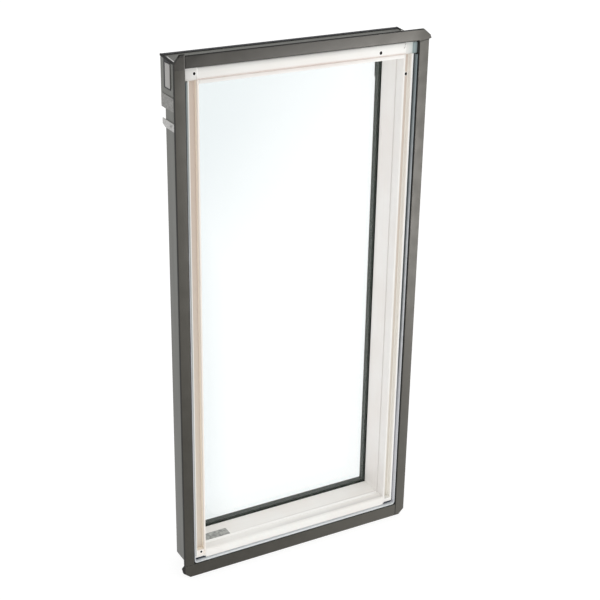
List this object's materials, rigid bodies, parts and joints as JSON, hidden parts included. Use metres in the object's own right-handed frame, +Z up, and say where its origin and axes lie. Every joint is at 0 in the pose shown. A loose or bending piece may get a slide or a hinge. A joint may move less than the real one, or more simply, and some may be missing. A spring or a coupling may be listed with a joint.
{
  "type": "fixed skylight",
  "caption": "Tall fixed skylight for a roof deck: a white wood frame with a deep reveal and lining grooves round a sealed glass unit, grey metal cladding and a dark deck seal flange.",
  "frame": {"origin": "on the flat room-side face of the deck seal, at the middle of its bottom strip", "axes": "+Z up along the stiles, +Y from the room towards the weather side, +X to the right seen from the room"},
  "size_m": [0.618, 0.1215, 1.241],
  "materials": {
    "painted_wood": "white primed and painted",
    "deck_seal": "matte dark grey",
    "bead": "smooth blue-grey",
    "glass": "clear",
    "spacer": "dark satin",
    "sealant": "black",
    "gasket": "black",
    "cladding": "grey lacquer",
    "pad": "matte black foam",
    "corner_plate": "light grey",
    "clip": "zinc grey"
  },
  "bodies": {
    "root": {"top_rail": "painted_wood", "bottom_rail": "painted_wood", "left_stile": "painted_wood", "right_stile": "painted_wood", "top_seal": "deck_seal", "bottom_seal": "deck_seal", "left_seal": "deck_seal", "right_seal": "deck_seal", "bottom_bead": "bead", "left_bead": "bead", "right_bead": "bead", "inner_pane": "glass", "outer_pane": "glass", "top_spacer": "spacer", "bottom_spacer": "spacer", "left_spacer": "spacer", "right_spacer": "spacer", "top_edge_seal": "sealant", "bottom_edge_seal": "sealant", "left_edge_seal": "sealant", "right_edge_seal": "sealant", "top_gasket": "gasket", "bottom_gasket": "gasket", "left_gasket": "gasket", "right_gasket": "gasket", "left_cladding": "cladding", "right_cladding": "cladding", "sill_cladding": "cladding", "head_cover": "cladding", "left_cap": "cladding", "right_cap": "cladding", "sill_cap": "cladding", "left_corner_cover": "cladding", "right_corner_cover": "cladding", "left_corner_pad": "pad", "right_corner_pad": "pad", "left_corner_plate": "corner_plate", "right_corner_plate": "corner_plate", "left_cover_clip": "clip", "right_cover_clip": "clip", "left_strap": "clip", "right_strap": "clip"}
  },
  "joints": []
}
